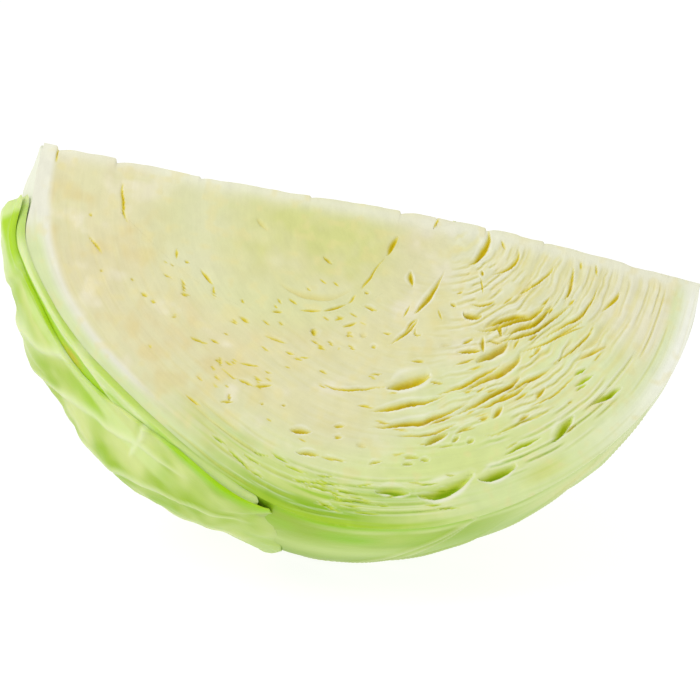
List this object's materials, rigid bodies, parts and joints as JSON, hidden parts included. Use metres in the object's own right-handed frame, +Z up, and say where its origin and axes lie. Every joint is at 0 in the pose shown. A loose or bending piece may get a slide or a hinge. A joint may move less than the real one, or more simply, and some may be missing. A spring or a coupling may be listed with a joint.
{
  "type": "cabbage wedge",
  "caption": "Quarter of a white cabbage head with crisp nested leaves round a solid core, resting on its green outer leaves with its cut ridge on top.",
  "frame": {"origin": "on the table, in the middle of the flat spot that the wedge rests on, straight below the middle of its cut ridge", "axes": "+X along the wedge from its stem end to its tip, +Z up; the cut face seen in the picture faces -Y and up, the other faces +Y and up"},
  "size_m": [0.188, 0.1343, 0.1104],
  "materials": {
    "core_flesh": "moist, fine-grained cut flesh, greenish cream",
    "heart_leaves": "crisp cut leaf edges, cream, golden in the gaps",
    "wrapper_leaves": "crisp cut leaf edges, white at the base to pale green",
    "skin_leaf": "waxy green leaf with raised pale veins",
    "torn_leaf": "waxy green leaf with a white base",
    "loose_leaf": "waxy green leaf with raised pale veins"
  },
  "bodies": {
    "root": {"core": "core_flesh", "heart": "heart_leaves", "wrapper_leaf_1": "wrapper_leaves", "wrapper_leaf_2": "wrapper_leaves", "wrapper_leaf_3": "wrapper_leaves", "wrapper_leaf_4": "wrapper_leaves", "wrapper_leaf_5": "wrapper_leaves", "skin_leaf": "skin_leaf", "torn_leaf": "torn_leaf", "loose_leaf": "loose_leaf"}
  },
  "joints": []
}
